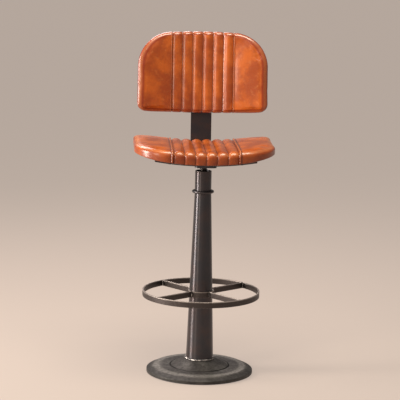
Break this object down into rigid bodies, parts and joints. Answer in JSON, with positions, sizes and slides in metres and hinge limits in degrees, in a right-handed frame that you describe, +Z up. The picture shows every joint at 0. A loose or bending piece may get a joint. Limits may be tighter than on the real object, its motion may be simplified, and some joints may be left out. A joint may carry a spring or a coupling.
{
  "type": "bar chair",
  "caption": "Bar chair on a tapered column and round cast foot, with a footrest hoop, a channelled leather seat and back, and a screw spindle that turns the seat up and down.",
  "frame": {"origin": "on the floor under the column's axis", "axes": "+Z up along the column; the sitter faces -Y, so the back is on the +Y side; +X to the right as seen by someone facing the chair's front"},
  "size_m": [0.4762, 0.4527, 1.1543],
  "materials": {
    "cast_iron": "rough sand-cast, oiled",
    "rubber": "matte",
    "blackened_steel": "blackened, semi-gloss",
    "worn_steel": "dark, worn bright on the edges",
    "machined_steel": "machined and oiled",
    "bronze": "machined",
    "fastener_steel": "dark zinc",
    "tan_leather": "polished tan hide, darker in the seams",
    "plywood": "bare veneer",
    "foam": "open-cell foam",
    "lining_cloth": "thin black lining cloth"
  },
  "bodies": {
    "stand": {"base_casting": "cast_iron", "floor_ring": "rubber", "base_hub": "cast_iron", "base_bolts": "fastener_steel", "foot_weld": "blackened_steel", "column": "blackened_steel", "column_ring": "blackened_steel", "column_sleeve": "blackened_steel", "spindle_nut": "bronze", "footrest_band": "worn_steel", "footrest_hoop": "worn_steel", "footrest_spoke_1": "worn_steel", "footrest_spoke_2": "worn_steel", "footrest_spoke_3": "worn_steel", "footrest_spoke_4": "worn_steel"},
    "lift_washer": {"stop_washer": "machined_steel"},
    "seat": {"spindle": "machined_steel", "stop_nut": "machined_steel", "spindle_flange": "blackened_steel", "flange_bolts": "fastener_steel", "flange_nuts": "fastener_steel", "cross_bar_front": "blackened_steel", "cross_bar_rear": "blackened_steel", "back_stem": "blackened_steel", "seat_board": "plywood", "seat_lining": "lining_cloth", "seat_foam": "foam", "seat_cover": "tan_leather", "seat_tee_nuts": "fastener_steel", "seat_bolts": "fastener_steel", "back_board": "plywood", "back_rear_panel": "tan_leather", "back_foam": "foam", "back_cover": "tan_leather", "back_tee_nuts": "fastener_steel", "back_bolts": "fastener_steel"}
  },
  "joints": [
    {"name": "seat_lift", "type": "slide", "parent": "stand", "child": "lift_washer", "axis": [0, 0, 1], "range_m": [-0.0125, 0.0995]},
    {"name": "seat_turn", "type": "hinge", "parent": "lift_washer", "child": "seat", "pos_m": [0, 0, 0.66], "axis": [0, 0, 1], "range_deg": [-720, 5940]}
  ],
  "couplings": [
    {"joint": "seat_lift", "follows": "seat_turn", "m_per_rad": 0.00095493}
  ]
}
